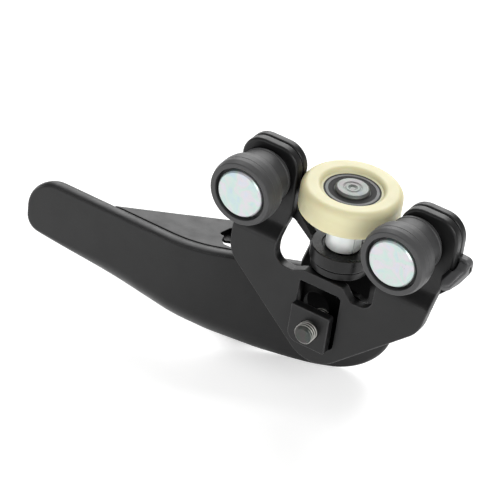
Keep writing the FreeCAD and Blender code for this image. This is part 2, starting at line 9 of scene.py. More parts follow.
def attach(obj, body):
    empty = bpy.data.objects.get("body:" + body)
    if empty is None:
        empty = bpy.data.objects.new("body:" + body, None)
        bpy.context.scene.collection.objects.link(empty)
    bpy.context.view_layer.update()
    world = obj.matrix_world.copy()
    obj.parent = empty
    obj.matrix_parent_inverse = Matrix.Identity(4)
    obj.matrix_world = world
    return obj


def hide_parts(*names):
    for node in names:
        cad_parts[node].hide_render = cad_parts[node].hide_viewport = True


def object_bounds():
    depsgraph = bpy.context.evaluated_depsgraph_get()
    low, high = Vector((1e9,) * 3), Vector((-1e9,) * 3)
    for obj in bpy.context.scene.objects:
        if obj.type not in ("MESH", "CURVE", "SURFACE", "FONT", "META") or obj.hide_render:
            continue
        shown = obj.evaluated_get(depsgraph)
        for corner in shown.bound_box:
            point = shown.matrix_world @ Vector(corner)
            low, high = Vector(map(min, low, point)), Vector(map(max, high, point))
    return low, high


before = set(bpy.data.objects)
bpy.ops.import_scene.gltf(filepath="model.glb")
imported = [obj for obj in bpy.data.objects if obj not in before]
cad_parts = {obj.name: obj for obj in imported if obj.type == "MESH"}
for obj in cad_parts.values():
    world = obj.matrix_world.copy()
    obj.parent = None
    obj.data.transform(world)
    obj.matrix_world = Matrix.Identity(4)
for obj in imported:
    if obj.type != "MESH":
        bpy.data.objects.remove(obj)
cad_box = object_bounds()

# Lengths below are millimetres in the part's own frame, and every mesh is scaled to metres when it is made.
# Material settings are the exception: their distances are metres and their noise scales are per metre.
MM = 0.001
SAME_POINT = 0.01
SLIVER = 1e-3


# ---------------------------------------------------------------- outlines

def spun(v, angle):
    """A 2-D vector turned by an angle."""
    c, s = math.cos(angle), math.sin(angle)
    return Vector((v.x * c - v.y * s, v.x * s + v.y * c))


def rounded(corners, step=7.0):
    """Points of a closed outline through (u, v, radius) corners, with an arc at each corner."""
    points = []
    for index, (u, v, radius) in enumerate(corners):
        here = Vector((u, v))
        back = (Vector(corners[index - 1][:2]) - here).normalized()
        ahead = (Vector(corners[(index + 1) % len(corners)][:2]) - here).normalized()
        if radius < 0.02:
            points.append(here)
            continue
        half = math.acos(max(-1.0, min(1.0, back.dot(ahead)))) / 2
        reach = radius / math.tan(half)
        centre = here + (back + ahead).normalized() * (radius / math.sin(half))
        first, last = here + back * reach - centre, here + ahead * reach - centre
        turn = math.atan2(first.x * last.y - first.y * last.x, first.dot(last))
        count = max(2, math.ceil(math.degrees(abs(turn)) / step))
        points += [centre + spun(first, turn * k / count) for k in range(count + 1)]
    return clean(points)


def clean(points):
    """The same closed outline without doubled points."""
    kept = []
    for point in points:
        if not kept or (point - kept[-1]).length > SAME_POINT:
            kept.append(point)
    if (kept[0] - kept[-1]).length < SAME_POINT:
        kept.pop()
    return kept


def arc(u, v, radius, start, end, count):
    """Points along an arc, angles in degrees."""
    angles = [math.radians(start + (end - start) * k / count) for k in range(count + 1)]
    return [Vector((u + radius * math.cos(a), v + radius * math.sin(a))) for a in angles]


def ring(u, v, radius, count=40):
    """A full circle as a closed outline."""
    return arc(u, v, radius, 0, 360, count)[:-1]


def area(points):
    """Signed area of a closed outline."""
    return sum(a.x * b.y - b.x * a.y for a, b in zip(points, points[1:] + points[:1])) / 2


def split_at(points, levels):
    """The outline with extra points where its edges cross the given v levels."""
    result = []
    for a, b in zip(points, points[1:] + points[:1]):
        result.append(a)
        shares = [(level - a.y) / (b.y - a.y) for level in levels if (level - a.y) * (level - b.y) < 0]
        result += [a.lerp(b, share) for share in sorted(shares)]
    return clean(result)


def inset(points, distances):
    """The outline moved into the material, which lies on its left, by a distance for each point.

    Edges that would run backwards are closed up to the point where their neighbours meet.
    """
    moved, count = [], len(points)
    for index, (here, distance) in enumerate(zip(points, distances)):
        before = (here - points[index - 1]).normalized()
        after = (points[(index + 1) % count] - here).normalized()
        normal = (Vector((-before.y, before.x)) + Vector((-after.y, after.x))).normalized()
        stretch = max(0.5, normal.dot(Vector((-before.y, before.x))))
        moved.append(here + normal * (distance / stretch))
    for _ in range(6):
        backwards = [(points[(k + 1) % count] - points[k]).dot(moved[(k + 1) % count] - moved[k]) < 1e-9
                     for k in range(count)]
        for first in [k for k in range(count) if backwards[k] and not backwards[k - 1]]:
            last = first
            while backwards[last % count]:
                last += 1
            meet = crossing(moved[first - 1], moved[first], moved[(last + 1) % count], moved[last % count])
            for k in range(first, last + 1):
                moved[k % count] = meet
    return moved


def crossing(a, b, c, d):
    """Where the line through a and b meets the line through c and d, or half way if that is far off."""
    along, across = b - a, d - c
    turn = along.x * across.y - along.y * across.x
    middle = (b + d) / 2
    if abs(turn) < 1e-6 * along.length * across.length:
        return middle
    meet = a + along * (((c.x - a.x) * across.y - (c.y - a.y) * across.x) / turn)
    return meet if (meet - middle).length < 3.0 else middle


def inside(point, loops):
    """Whether a point lies in the material between closed outlines."""
    odd = False
    for loop in loops:
        for a, b in zip(loop, loop[1:] + loop[:1]):
            if (a.y > point.y) != (b.y > point.y):
                if point.x < a.x + (point.y - a.y) / (b.y - a.y) * (b.x - a.x):
                    odd = not odd
    return odd


# ---------------------------------------------------------------- meshes

def finish_piece(bm, name, material, body, nodes=(), sharp=38.0):
    """Turns a BMesh into a piece that rides on a body and stands for CAD nodes."""
    bmesh.ops.remove_doubles(bm, verts=bm.verts, dist=2e-6)
    bmesh.ops.recalc_face_normals(bm, faces=bm.faces)
    limit = math.radians(sharp)
    for face in bm.faces:
        face.smooth = True
    for edge in bm.edges:
        edge.smooth = not (len(edge.link_faces) == 2 and edge.calc_face_angle(0.0) > limit)
    mesh = bpy.data.meshes.new(name)
    bm.to_mesh(mesh)
    bm.free()
    piece = bpy.data.objects.new(name, mesh)
    bpy.context.scene.collection.objects.link(piece)
    mesh.materials.append(material)
    weighted = piece.modifiers.new("weighted", "WEIGHTED_NORMAL")
    weighted.keep_sharp = True
    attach(piece, body)
    if nodes:
        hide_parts(*nodes)
    return piece


def border(thickness, front, back=None, arcs=4):
    """Section of a sheet's rounded border as (inward, depth) pairs, from the front face to the back one."""
    back = front if back is None else back
    angles = [math.pi / 2 * k / arcs for k in range(arcs + 1)]
    rounding = [(1 - math.sin(a), 1 - math.cos(a)) for a in angles]
    return ([(front * inward, front * depth) for inward, depth in rounding]
            + [(back * inward, thickness - back * depth) for inward, depth in reversed(rounding)])


def add_cap(bm, loops, depth, place, levels, grid, flip):
    """Fills a face between loops of (outline, vertices), with extra points along the levels."""
    outlines = [points for points, _ in loops]
    flat = [p for points in outlines for p in points]
    verts = [v for _, row in loops for v in row]
    constraints, first = [], 0
    for points in outlines:
        constraints += [(first + k, first + (k + 1) % len(points)) for k in range(len(points))]
        first += len(points)
    extra = []
    low, high = min(p.x for p in flat), max(p.x for p in flat)
    for level in levels:
        for k in range(int((high - low) / grid) + 1):
            point = Vector((low + (k + 0.5) * grid, level))
            if min((point - p).length for p in flat) > 0.45 * grid and inside(point, outlines):
                extra.append(point)
    made = delaunay_2d_cdt(flat + extra, constraints, [], 0, 1e-7)
    points, sources = made[0], made[3]
    added = {}
    for face in kept_faces(made, outlines):
        corners = []
        for v in face:
            source = sources[v][0] if sources[v] else None
            if source is not None and source < len(flat):
                corners.append(verts[source])
                continue
            if v not in added:
                added[v] = bm.verts.new(place(points[v][0], points[v][1], depth) * MM)
            corners.append(added[v])
        if len(set(corners)) == len(corners):
            bm.faces.new(corners[::-1] if flip else corners)


def sides(face):
    """The edges of a face, as pairs in no order."""
    return [frozenset(pair) for pair in zip(face, face[1:] + face[:1])]


def kept_faces(made, outlines):
    """The triangles in the material.

    Triangles with no outline between them are judged together, by the largest of them, and a group
    that holds only slivers is dropped.
    """
    points, edges, triangles, edge_sources = made[0], made[1], made[2], made[4]
    fence = {frozenset(edge) for edge, source in zip(edges, edge_sources) if source}
    beside = {}
    for index, face in enumerate(triangles):
        for side in sides(face):
            beside.setdefault(side, []).append(index)
    seen, kept = set(), []
    for start in range(len(triangles)):
        if start in seen:
            continue
        seen.add(start)
        group, waiting = [], [start]
        while waiting:
            face = triangles[waiting.pop()]
            group.append(face)
            for side in sides(face):
                if side not in fence:
                    fresh = [other for other in beside[side] if other not in seen]
                    seen.update(fresh)
                    waiting += fresh
        outlined = [[Vector(points[v]) for v in face] for face in group]
        largest = max(outlined, key=lambda corners: abs(area(corners)))
        centre = sum(largest, Vector((0, 0))) / len(largest)
        if abs(area(largest)) > SLIVER and inside(centre, outlines):
            kept += group
    return kept


def add_sheet(bm, outline, place, section, holes=(), levels=(), grid=1.6):
    """Adds a sheet: section(point) gives its border there, place(u, v, depth) its points in space."""
    front, back = [], []
    for number, points in enumerate([outline, *holes]):
        points = split_at(list(points), levels)
        if (area(points) > 0) == (number > 0):
            points.reverse()
        sections = [section(p) for p in points]
        outlines = [inset(points, [s[k][0] for s in sections]) for k in range(len(sections[0]))]
        rows = [[bm.verts.new(place(p.x, p.y, s[k][1]) * MM) for p, s in zip(row, sections)]
                for k, row in enumerate(outlines)]
        for row, following in zip(rows, rows[1:]):
            for k in range(len(row)):
                after = (k + 1) % len(row)
                bm.faces.new((row[k], row[after], following[after], following[k]))
        front.append((outlines[0], rows[0]))
        back.append((outlines[-1], rows[-1]))
    add_cap(bm, front, sections[0][0][1], place, levels, grid, True)
    add_cap(bm, back, sections[0][-1][1], place, levels, grid, False)


def even(thickness, front, back=None):
    """The same border all round."""
    made = border(thickness, front, back)
    return lambda point: made


def add_lathe(bm, corners, place, steps=120, start=0.0, sweep=360.0):
    """Adds a body of revolution from (radius, position, rounding) corners, put in space by place."""
    section = rounded(corners, 10.0)
    closed = sweep > 359.9
    count = steps if closed else steps + 1
    rows = []
    for k in range(count):
        angle = math.radians(start + sweep * k / steps)
        rows.append([bm.verts.new(place(max(p.x, 0.0), angle, p.y) * MM) for p in section])
    for k in range(steps):
        row, following = rows[k], rows[(k + 1) % count]
        for j in range(len(section)):
            after = (j + 1) % len(section)
            corners_of = (row[j], row[after], following[after], following[j])
            points = [v.co.copy().freeze() for v in corners_of]
            if len(set(points)) > 2:
                unique = [v for i, v in enumerate(corners_of) if points[i] not in points[:i]]
                bm.faces.new(unique)
    if not closed:
        bm.faces.new(rows[0])
        bm.faces.new(rows[-1][::-1])


def about_z(radius, angle, t):
    """A point turned about the upright axis through the origin."""
    return Vector((radius * math.cos(angle), radius * math.sin(angle), t))


def about_y(x, z=0.0):
    """Points turned about a Y axis through one X and Z."""
    return lambda radius, angle, t: Vector((x + radius * math.cos(angle), t, z + radius * math.sin(angle)))


def smooth_step(t):
    """0 to 1 with level ends."""
    t = max(0.0, min(1.0, t))
    return t * t * (3 - 2 * t)


# ---------------------------------------------------------------- materials

class Nodes:
    """A short way to write a node material."""

    def __init__(self, name):
        self.material = bpy.data.materials.new(name)
        self.material.use_nodes = True
        self.tree = self.material.node_tree
        self.tree.nodes.clear()
        self.shader = self.tree.nodes.new("ShaderNodeBsdfPrincipled")
        output = self.tree.nodes.new("ShaderNodeOutputMaterial")
        self.link(self.shader.outputs[0], output.inputs["Surface"])
        self.place = self.tree.nodes.new("ShaderNodeTexCoord").outputs["Object"]

    def link(self, a, b):
        self.tree.links.new(a, b)

    def moved(self, location):
        node = self.tree.nodes.new("ShaderNodeMapping")
        node.inputs["Location"].default_value = location
        self.link(self.place, node.inputs["Vector"])
        return node.outputs[0]

    def noise(self, scale, detail=4.0, rough=0.55, distortion=0.0):
        node = self.tree.nodes.new("ShaderNodeTexNoise")
        node.inputs["Scale"].default_value = scale
        node.inputs["Detail"].default_value = detail
        node.inputs["Roughness"].default_value = rough
        node.inputs["Distortion"].default_value = distortion
        self.link(self.place, node.inputs["Vector"])
        return node.outputs["Fac"]

    def span(self, value, low, high, start=0.3, end=0.7):
        node = self.tree.nodes.new("ShaderNodeMapRange")
        node.inputs["From Min"].default_value = start
        node.inputs["From Max"].default_value = end
        node.inputs["To Min"].default_value = low
        node.inputs["To Max"].default_value = high
        self.link(value, node.inputs["Value"])
        return node.outputs["Result"]

    def ramp(self, value, stops):
        node = self.tree.nodes.new("ShaderNodeValToRGB")
        ramp = node.color_ramp
        while len(ramp.elements) < len(stops):
            ramp.elements.new(0.5)
        for element, (at, colour) in zip(ramp.elements, stops):
            element.position = at
            element.color = (*colour, 1)
        self.link(value, node.inputs["Fac"])
        return node.outputs["Color"]

    def blend(self, factor, a, b):
        node = self.tree.nodes.new("ShaderNodeMix")
        node.data_type = "RGBA"
        for value, socket in ((factor, node.inputs[0]), (a, node.inputs[6]), (b, node.inputs[7])):
            if isinstance(value, bpy.types.NodeSocket):
                self.link(value, socket)
            elif isinstance(value, tuple):
                socket.default_value = (*value, 1)
            else:
                socket.default_value = value
        return node.outputs[2]

    def add(self, a, b, factor=1.0):
        node = self.tree.nodes.new("ShaderNodeMath")
        node.operation = "MULTIPLY_ADD"
        self.link(b, node.inputs[0])
        node.inputs[1].default_value = factor
        self.link(a, node.inputs[2])
        return node.outputs[0]

    def times(self, a, b):
        node = self.tree.nodes.new("ShaderNodeMath")
        node.operation = "MULTIPLY"
        self.link(a, node.inputs[0])
        self.link(b, node.inputs[1])
        return node.outputs[0]

    def distance(self, centre):
        node = self.tree.nodes.new("ShaderNodeVectorMath")
        node.operation = "DISTANCE"
        node.inputs[1].default_value = centre
        self.link(self.place, node.inputs[0])
        return node.outputs["Value"]

    def edge(self, reach):
        """1 close to an edge, 0 on even surfaces."""
        soft = self.tree.nodes.new("ShaderNodeBevel")
        soft.samples = 4
        soft.inputs["Radius"].default_value = reach
        geometry = self.tree.nodes.new("ShaderNodeNewGeometry")
        match = self.tree.nodes.new("ShaderNodeVectorMath")
        match.operation = "DOT_PRODUCT"
        self.link(soft.outputs[0], match.inputs[0])
        self.link(geometry.outputs["Normal"], match.inputs[1])
        return self.span(match.outputs["Value"], 1.0, 0.0, 0.90, 0.99)

    def bump(self, height, distance):
        node = self.tree.nodes.new("ShaderNodeBump")
        node.inputs["Strength"].default_value = 1.0
        node.inputs["Distance"].default_value = distance
        self.link(height, node.inputs["Height"])
        self.link(node.outputs[0], self.shader.inputs["Normal"])

    def set(self, **values):
        for name, value in values.items():
            socket = self.shader.inputs[name.replace("_", " ")]
            if isinstance(value, bpy.types.NodeSocket):
                self.link(value, socket)
            elif isinstance(value, tuple):
                socket.default_value = (*value, 1)
            else:
                socket.default_value = value
        return self


def shade(colour, factor):
    """A colour made lighter or darker."""
    return tuple(min(1.0, c * factor) for c in colour)


# Painted shade round the pivot, as (centre, radius) of spheres, and where the end hook's top gets a painted
# highlight.
PAINTED_SHADE_SPHERES = (((0.006, 0.007, -0.042), 0.0185), ((-0.013, 0.014, -0.062), 0.0145))
SHADE_SPHERE_FADE = 2.0 * MM
HOOK_LIGHT_X, HOOK_LIGHT_Z = (48.7 * MM, 49.1 * MM), (-8.2 * MM, -7.2 * MM)
# Reach of the painted shade in recesses and of the lightened edges, and colours of the lightened edges (rubbed
# paint and painted highlight) and of the hook's painted highlight.
RECESS_REACH, EDGE_LIGHT_REACH = 0.024, 0.0007
EDGE_WEAR_AND_HIGHLIGHT, HOOK_TOP_HIGHLIGHT = (0.17, 0.17, 0.175), (0.085, 0.085, 0.087)


def painted(name, colour, gloss, peel, speck, edge_wear_and_highlight=0.6, shine=0.34):
    """Black e-coat on pressed steel: orange peel, cloudy gloss and dust, edges lightened as rubbed paint and
    painted highlight, painted shade in recesses and round the pivot, and a painted highlight on the end hook's
    top.
    """
    n = Nodes(name)
    cloud = n.noise(55, 5, 0.6)
    fine = n.noise(2600, 2, 0.5)
    body = n.ramp(cloud, [(0.25, shade(colour, 0.80)), (0.75, shade(colour, 1.22))])
    dust = n.span(n.noise(1500, 3, 0.7), 0.0, 1.0, 0.62, 0.72)
    dusty = n.blend(n.span(dust, 0.0, speck, 0, 1), body, shade(colour, 3.2))
    # Painted shade: recesses and the spheres round the pivot get darker, less glossy paint.
    recess = n.tree.nodes.new("ShaderNodeAmbientOcclusion")
    recess.inputs["Distance"].default_value = RECESS_REACH
    recess.samples = 8
    unshaded_part = n.span(recess.outputs["AO"], 0.0, 1.0, 0.16, 0.60)
    for centre, radius in PAINTED_SHADE_SPHERES:
        unshaded_part = n.times(unshaded_part, n.span(n.distance(centre), 0.0, 1.0, radius - SHADE_SPHERE_FADE, radius))
    # Edges lightened with noise: partly rubbed paint, partly painted highlight.
    worn_and_lit_edge = n.times(n.edge(EDGE_LIGHT_REACH), n.span(n.noise(420, 4, 0.6), 0.35 * edge_wear_and_highlight, edge_wear_and_highlight))
    # Painted highlight: the end hook's top is painted lighter, its shaded side below stays dark.
    split = n.tree.nodes.new("ShaderNodeSeparateXYZ")
    n.link(n.place, split.inputs[0])
    hook_highlight = n.times(n.span(split.outputs["X"], 0.0, 1.0, *HOOK_LIGHT_X),
                     n.span(split.outputs["Z"], 0.0, 1.0, *HOOK_LIGHT_Z))
    edged = n.blend(worn_and_lit_edge, dusty, EDGE_WEAR_AND_HIGHLIGHT)
    n.set(Base_Color=n.blend(unshaded_part, shade(colour, 0.3), n.blend(hook_highlight, edged, HOOK_TOP_HIGHLIGHT)))
    n.set(Specular_IOR_Level=n.span(unshaded_part, 0.02, shine, 0, 1))
    n.set(Roughness=n.span(n.add(n.noise(140, 6, 0.6), fine, 0.15), gloss - 0.06, gloss + 0.09, 0.4, 0.75))
    n.bump(n.add(n.noise(900, 3, 0.5), fine, 0.4), peel)
    return n.material


def moulded(name, colour, gloss, grain, shine=0.5):
    """Matte moulded plastic with fine spark-eroded grain, faint flow marks and handling scuffs."""
    n = Nodes(name)
    flow = n.noise(60, 4, 0.6, distortion=1.2)
    fine = n.noise(3200, 3, 0.6)
    body = n.ramp(flow, [(0.2, shade(colour, 0.86)), (0.8, shade(colour, 1.12))])
    scuff = n.span(n.noise(260, 6, 0.75), 0.0, 0.35, 0.60, 0.74)
    n.set(Base_Color=n.blend(scuff, body, shade(colour, 1.5)))
    n.set(Roughness=n.span(n.add(flow, fine, 0.3), gloss - 0.07, gloss + 0.07, 0.4, 0.9))
    n.set(Specular_IOR_Level=shine)
    n.bump(fine, grain)
    return n.material


def nylon(name):
    """Ivory nylon: warm, slightly translucent, with faint mould marks and a soft sheen."""
    n = Nodes(name)
    warm = n.ramp(n.noise(38, 4, 0.6), [(0.25, (0.67, 0.625, 0.38)), (0.75, (0.75, 0.715, 0.465))])
    grime = n.span(n.noise(210, 5, 0.7), 0.0, 0.25, 0.60, 0.75)
    n.set(Base_Color=n.blend(grime, warm, (0.58, 0.49, 0.28)))
    n.set(Roughness=n.span(n.noise(320, 4, 0.6), 0.36, 0.52))
    n.set(Subsurface_Weight=0.35, Subsurface_Scale=0.004)
    n.shader.inputs["Subsurface Radius"].default_value = (1.0, 0.62, 0.30)
    n.bump(n.add(n.noise(700, 3, 0.5), n.noise(2400, 2, 0.5), 0.4), 0.00001)
    return n.material


TURNING_MARKS = 2600.0
PASSIVATION = [(0.30, (0.62, 0.80, 0.95)), (0.45, (0.70, 0.92, 0.80)),
               (0.58, (0.95, 0.80, 0.88)), (0.72, (0.80, 0.82, 0.98))]
# Colours of the painted highlight on thread crests and of the painted shade low on the pivot pin.
CREST_HIGHLIGHT, LOW_SHADE_COLOUR = (0.55, 0.54, 0.51), (0.012, 0.012, 0.012)


def plated(name, colour, tint, gloss, axis, centre, metal=0.9, crests=None, shaded_below=None):
    """Zinc or turned steel: concentric turning marks, cloudy plating and a faint rainbow in the passivation.

    crests is the radius range where a thread's crests get a painted highlight, and the last argument the
    height below which the part gets painted shade.
    """
    n = Nodes(name)
    stretch = {"Y": (1, 0.02, 1), "Z": (1, 1, 0.02)}[axis]
    centred = n.moved(tuple(-c * MM for c in centre))
    length = n.tree.nodes.new("ShaderNodeVectorMath")
    length.operation = "LENGTH"
    flat = n.tree.nodes.new("ShaderNodeVectorMath")
    flat.operation = "MULTIPLY"
    flat.inputs[1].default_value = stretch
    n.link(centred, flat.inputs[0])
    n.link(flat.outputs[0], length.inputs[0])
    rings = n.tree.nodes.new("ShaderNodeTexNoise")
    rings.noise_dimensions = "1D"
    rings.inputs["Scale"].default_value = TURNING_MARKS
    rings.inputs["Detail"].default_value = 3
    n.link(length.outputs["Value"], rings.inputs["W"])
    turned = rings.outputs["Fac"]
    cloud = n.noise(170, 5, 0.65)
    body = n.ramp(cloud, [(0.25, shade(colour, 0.88)), (0.5, colour), (0.78, shade(colour, 1.06))])
    rainbow = n.ramp(n.noise(120, 3, 0.5, distortion=2.0), PASSIVATION)
    base = n.blend(tint, body, rainbow)
    # Painted highlight along the thread crests.
    if crests:
        bright = n.span(length.outputs["Value"], 0.0, 1.0, crests[0] * MM, crests[1] * MM)
        base = n.blend(bright, base, CREST_HIGHLIGHT)
    # Painted shade: the part is darkened below the given height.
    if shaded_below:
        split = n.tree.nodes.new("ShaderNodeSeparateXYZ")
        n.link(n.place, split.inputs[0])
        painted_shade_below = n.span(split.outputs["Z"], 1.0, 0.0, (shaded_below - 1.0) * MM, shaded_below * MM)
        base = n.blend(painted_shade_below, base, LOW_SHADE_COLOUR)
    n.set(Base_Color=base, Metallic=metal)
    n.set(Roughness=n.span(n.add(cloud, turned, 0.5), gloss - 0.07, gloss + 0.1, 0.5, 1.0))
    n.bump(n.add(turned, n.noise(1800, 3, 0.6), 0.5), 0.000006)
    return n.material


plate_paint = painted("plate_paint", (0.008, 0.008, 0.0083), 0.36, 0.000012, 0.25)
arm_paint = painted("arm_paint", (0.008, 0.008, 0.0083), 0.38, 0.000018, 0.45, edge_wear_and_highlight=0.35)
# A darker, duller copy of the plate paint, for painted shade on the window doubler in its recess.
shade_darkened_paint = painted("shade_darkened_paint", (0.005, 0.005, 0.005), 0.45, 0.000012, 0.2, edge_wear_and_highlight=0.2, shine=0.14)
collar_black = painted("collar_black", (0.005, 0.005, 0.0052), 0.28, 0.00001, 0.15)
grey_moulding = moulded("moulded_grey", (0.048, 0.048, 0.049), 0.50, 0.000012)
ivory = nylon("nylon")
zinc_left = plated("zinc_left", (0.40, 0.45, 0.452), 0.42, 0.34, "Y", (-32.8, 0, 0), metal=0.55)
zinc_right = plated("zinc_right", (0.40, 0.45, 0.452), 0.42, 0.34, "Y", (32.8, 0, 0), metal=0.55)
# The pivot pin is darkened below z = -22 as painted shade.
zinc_pivot = plated("zinc_pivot", (0.12, 0.12, 0.115), 0.08, 0.46, "Z", (0, 0, 0), shaded_below=-22.0)
zinc_sleeve = plated("zinc_sleeve", (0.93, 0.96, 0.96), 0.10, 0.34, "Z", (0, 0, 0), metal=0.25)
steel_turned = plated("steel", (0.40, 0.40, 0.41), 0.03, 0.32, "Z", (0, 0, 0))
screw_steel = plated("screw_steel", (0.035, 0.034, 0.031), 0.05, 0.32, "Y", (-0.6, 0, -52.8),
                     crests=(3.7, 3.95))
race_steel = plated("race_steel", (0.05, 0.05, 0.05), 0.03, 0.42, "Z", (0, 0, 0), metal=0.6)
dark_shield = plated("shield_dark", (0.03, 0.03, 0.03), 0.03, 0.40, "Z", (0, 0, 0), metal=0.5)
seal_rubber = moulded("seal_rubber", (0.022, 0.022, 0.022), 0.62, 0.00004, shine=0.16)
ball_steel = plated("ball_steel", (0.78, 0.78, 0.80), 0.02, 0.12, "Z", (0, 0, 0))
bronze = plated("bronze", (0.55, 0.38, 0.17), 0.0, 0.42, "Z", (0, 0, 0))


# ---------------------------------------------------------------- carriage plates

EAR_TOP, EAR_ROUND = 13.4, 9.0
# Each ear: its side, inner edge and outer edge.
EARS = ((-1, 20.0, 44.8), (1, 24.2, 48.6))
PIN_X, PIN_HOLE, SCREW_X, SCREW_Z, SCREW_HOLE = 32.8, 5.0, -0.6, -52.8, 4.05
# Front faces in Y, and how far the ears step back from the front plate's face.
FRONT_Y, JOGGLE, TAB_Y, ROOT_Y, REAR_Y, STUB_Y = -12.0, 5.0, -16.0, -12.6, -2.8, -2.9
JOGGLE_FOOT, JOGGLE_RISE = -25.5, 8.0
PLATE, TAB, EAR, COLLAR_RING = 4.0, 3.6, 3.8, 3.4


def front_plate():
    """Pressing with two ears, a soft joggle, notches, a window and the tab lanced from it."""
    outline = rounded([
        (-20.0, EAR_TOP, EAR_ROUND), (-44.8, EAR_TOP, EAR_ROUND), (-44.8, -9.0, 6.0),
        (-41.6, -18.5, 4.0), (-41.6, -37.0, 12.0), (0.4, -74.6, 14.0), (42.2, -35.2, 14.0),
        (44.4, -24.5, 4.0), (44.4, -18.5, 2.0), (48.6, -9.0, 6.0), (48.6, EAR_TOP, EAR_ROUND),
        (24.2, EAR_TOP, EAR_ROUND), (24.2, -13.0, 6.0), (21.8, -20.0, 3.0), (21.4, -35.4, 5.0),
        (12.6, -35.4, 3.0), (8.6, -30.6, 1.5), (-8.6, -30.6, 1.5), (-13.6, -33.0, 2.0), (-21.8, -33.0, 5.5),
        (-21.8, -20.0, 3.0), (-20.0, -13.0, 6.0),
    ])
    window = rounded([(-9.4, -61.2, 1.0), (8.6, -61.2, 3.4), (8.6, -35.6, 1.8), (-9.4, -35.6, 0.7)])
    holes = [window, ring(-PIN_X, 0, PIN_HOLE), ring(PIN_X, 0, PIN_HOLE)]

    def place(u, v, depth):
        lift = smooth_step((v - JOGGLE_FOOT) / JOGGLE_RISE)
        return Vector((u, FRONT_Y + JOGGLE * lift + depth, v))

    def section(point):
        ear = smooth_step((point.y + 20.0) / 8.0)
        return border(PLATE, 0.4 + 0.7 * ear, 0.4 + 0.5 * ear)
    bm = bmesh.new()
    levels = [JOGGLE_FOOT + JOGGLE_RISE * k / 10 for k in range(11)]
    add_sheet(bm, outline, place, section, holes, levels)
    tab = rounded([(-9.4, -44.2, 0.5), (7.4, -44.2, 0.8), (7.4, -60.8, 1.0), (-9.4, -60.8, 4.5)])
    add_sheet(bm, tab, lambda u, v, depth: Vector((u, TAB_Y + depth, v)), even(TAB, 0.35),
              [ring(SCREW_X, SCREW_Z, SCREW_HOLE)])
    root = rounded([(-5.0, -59.6, 0.4), (4.8, -59.6, 0.4), (4.8, -61.9, 0.4), (-5.0, -61.9, 0.4)])
    add_sheet(bm, root, lambda u, v, depth: Vector((u, ROOT_Y + depth, v)), even(4.2, 0.25))
    return finish_piece(bm, "front_plate_pressing", plate_paint, "carriage", ["front_plate"])


def rear_plate():
    """Rear pressing: ears, struts down to the collar, half ring round it and the end hook."""
    def ear_section(point):
        ear = smooth_step((point.y + 15.0) / 6.0)
        return border(EAR, 0.3 + 0.5 * ear, 0.4 + 0.9 * ear)
    bm = bmesh.new()
    for side, inner, outer in EARS:
        ear = rounded([
            (side * inner, EAR_TOP, EAR_ROUND), (side * outer, EAR_TOP, EAR_ROUND),
            (side * outer, -13.0, 3.0), (side * (outer - 2.2), -18.4, 1.5),
            (side * (outer - 5.4), -22.0, 1.5), (side * 34.0, -18.0, 4.0),
            (side * 20.5, -17.4, 1.5), (side * 12.15, -24.1, 0.3), (side * 12.15, -21.1, 0.3),
            (side * inner, -12.5, 4.0),
        ])
        add_sheet(bm, ear, lambda u, v, depth: Vector((u, REAR_Y + depth, v)), ear_section,
                  [ring(side * PIN_X, 0, PIN_HOLE)])
    hug = (arc(0, 0, 15.4, 2, 178, 48) + arc(0, 0, 12.7, 184, 196, 6)
           + arc(0, 0, 12.15, 197, -17, 60) + arc(0, 0, 12.7, -16, -4, 6))
    add_sheet(bm, clean(hug), lambda u, v, depth: Vector((u, v, -21.1 - depth)), even(COLLAR_RING, 0.2))
    finger = rounded([
        (45.6, -2.9, 0.1), (45.6, 0.9, 0.1), (53.3, 0.9, 1.8), (53.3, -18.9, 2.4), (50.1, -18.9, 1.2),
        (47.2, -12.4, 1.6), (47.2, -7.3, 0.5), (48.85, -7.3, 0.1), (48.85, -2.9, 0.1)])

    def finger_section(point):
        outer = smooth_step((point.x - 48.0) / 4.5)
        return border(PLATE, 0.4 + 0.6 * outer, 0.4 + 1.0 * outer)

    def finger_place(u, v, depth):
        top = depth < 1.6
        thin = 1 - 0.5 * smooth_step((-8.0 - v) / 10.5)
        rise = 2.0 * max(0.0, min(1.0, (v + 5.8) / 2.9)) ** 2 if top else 0.0
        hollow = 0.2 * smooth_step((52.2 - u) / 1.6) * smooth_step((v + 17.5) / 3.0) if top else 0.0
        return Vector((u, v, -5.3 - depth * thin + rise - hollow))
    levels = [-18.4 + 0.8 * k for k in range(24)]
    add_sheet(bm, finger, finger_place, finger_section, levels=levels, grid=0.8)
    stub = rounded([(45.6, -9.1, 0.2), (53.3, -9.1, 1.6), (53.3, -2.2, 2.6), (45.6, -2.2, 0.2)])
    add_sheet(bm, stub, lambda u, v, depth: Vector((u, STUB_Y + depth, v)),
              lambda point: border(3.85, 0.15 + 0.65 * smooth_step((point.x - 47.5) / 2)))
    return finish_piece(bm, "rear_plate_pressing", plate_paint, "carriage", ["rear_plate"])


# ---------------------------------------------------------------- arm

FACE, OFFSET, TURN, OUTER_BEND = -10.6, 17.2, math.radians(27.0), 51.0
ARM_TOP, ARM_FOOT, ARM_TIP, ARM_END, SHEET, RIM = -46.2, -91.8, -135.9, 15.5, 3.0, 6.8
BEND = 3.4


